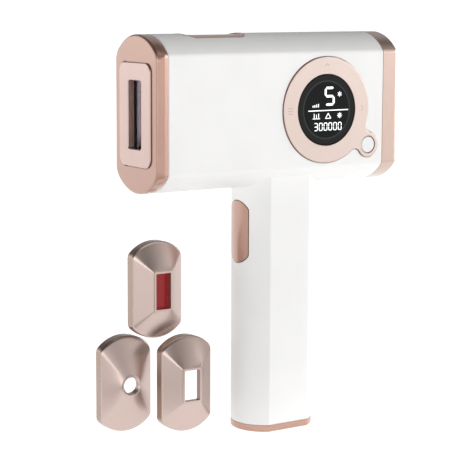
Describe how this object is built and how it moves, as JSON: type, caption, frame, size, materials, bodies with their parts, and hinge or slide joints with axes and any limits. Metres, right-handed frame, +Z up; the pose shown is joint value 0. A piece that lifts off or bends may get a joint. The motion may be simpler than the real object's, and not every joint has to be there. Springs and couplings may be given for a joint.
{
  "type": "ipl hair remover",
  "caption": "T-shaped hand-held light hair remover: white shell, rose-gold nose window, round display, trigger grip, and three loose magnetic heads.",
  "frame": {"origin": "centre of the DC inlet in the flat foot of the handle, on the surface the foot stands on", "axes": "+Z up the handle; the head's window end points to -X; the display side faces -Y"},
  "size_m": [0.1408, 0.048, 0.1876],
  "materials": {
    "shell_white": "satin",
    "button_white": "semi gloss",
    "rose_gold": "satin metallic lacquer",
    "pale_rose_gold": "satin metallic lacquer",
    "champagne_rose": "satin metallic lacquer",
    "carrier_plastic": "fine matt",
    "red_glass": "polished",
    "clear_glass": "polished",
    "display_black": "high gloss",
    "seal_rubber": "matt",
    "mirror_metal": "polished",
    "raw_aluminium": "machined",
    "holder_plastic": "matt",
    "black_plastic": "matt",
    "can_sleeve": "shrink sleeve",
    "coil_copper": "enamelled",
    "board_green": "solder mask",
    "steel": "nickel plated",
    "lead_red": "insulation"
  },
  "bodies": {
    "handset": {"front_shell": "shell_white", "rear_shell": "shell_white", "nose_cap": "rose_gold", "rear_cap": "rose_gold", "foot_cap": "rose_gold", "top_button_bezel": "rose_gold", "lens_plate": "pale_rose_gold", "control_ring": "pale_rose_gold", "window_glass": "clear_glass", "display_lens": "display_black", "flash_lamp": "clear_glass", "window_seal": "seal_rubber", "reflector": "mirror_metal", "lamp_heat_sink": "raw_aluminium", "lamp_electrodes": "raw_aluminium", "lamp_holders": "holder_plastic", "capacitor_cradle": "holder_plastic", "fan_frame": "black_plastic", "rear_grille": "black_plastic", "display_module": "black_plastic", "power_switch": "black_plastic", "trigger_switch": "black_plastic", "top_switch": "black_plastic", "dc_jack": "black_plastic", "flash_capacitor": "can_sleeve", "trigger_coil": "coil_copper", "control_board": "board_green", "power_board": "board_green", "handle_board": "board_green", "top_board": "board_green", "board_screws": "steel", "plate_magnets": "steel", "supply_leads": "lead_red", "lamp_leads": "lead_red", "trigger_spring": "steel", "top_spring": "steel"},
    "flash_trigger": {"trigger_button": "rose_gold"},
    "top_key": {"top_button": "rose_gold"},
    "power_key": {"power_button": "button_white"},
    "fan_blades": {"fan_rotor": "black_plastic"},
    "round_head": {"round_head_cover": "champagne_rose", "round_head_carrier": "carrier_plastic", "round_head_magnets": "steel"},
    "clear_head": {"clear_head_cover": "champagne_rose", "clear_head_carrier": "carrier_plastic", "clear_head_magnets": "steel"},
    "red_head": {"red_head_cover": "champagne_rose", "red_head_carrier": "carrier_plastic", "red_filter_glass": "red_glass", "red_head_magnets": "steel"}
  },
  "joints": [
    {"name": "trigger_press", "type": "slide", "parent": "handset", "child": "flash_trigger", "axis": [1, 0, 0], "range_m": [0, 0.0015], "stiffness_N_per_m": 400, "springref_m": -0.0005, "deforming": ["trigger_spring"]},
    {"name": "top_press", "type": "slide", "parent": "handset", "child": "top_key", "axis": [0, 0, -1], "range_m": [0, 0.001], "stiffness_N_per_m": 400, "springref_m": -0.0005, "deforming": ["top_spring"]},
    {"name": "power_press", "type": "slide", "parent": "handset", "child": "power_key", "axis": [0, 1, 0], "range_m": [0, 0.0008], "stiffness_N_per_m": 400, "springref_m": -0.0004},
    {"name": "fan_spin", "type": "hinge", "parent": "handset", "child": "fan_blades", "pos_m": [0.046, 0, 0.1518], "axis": [1, 0, 0], "continuous": true},
    {"name": "round_head_pull", "type": "slide", "parent": "handset", "child": "round_head", "axis": [-1, 0, 0], "range_m": [0, 0.06]},
    {"name": "clear_head_pull", "type": "slide", "parent": "handset", "child": "clear_head", "axis": [-0.0262, -0.9997, 0], "range_m": [0, 0.06]},
    {"name": "red_head_pull", "type": "slide", "parent": "handset", "child": "red_head", "axis": [0, -1, 0], "range_m": [0, 0.06]}
  ]
}
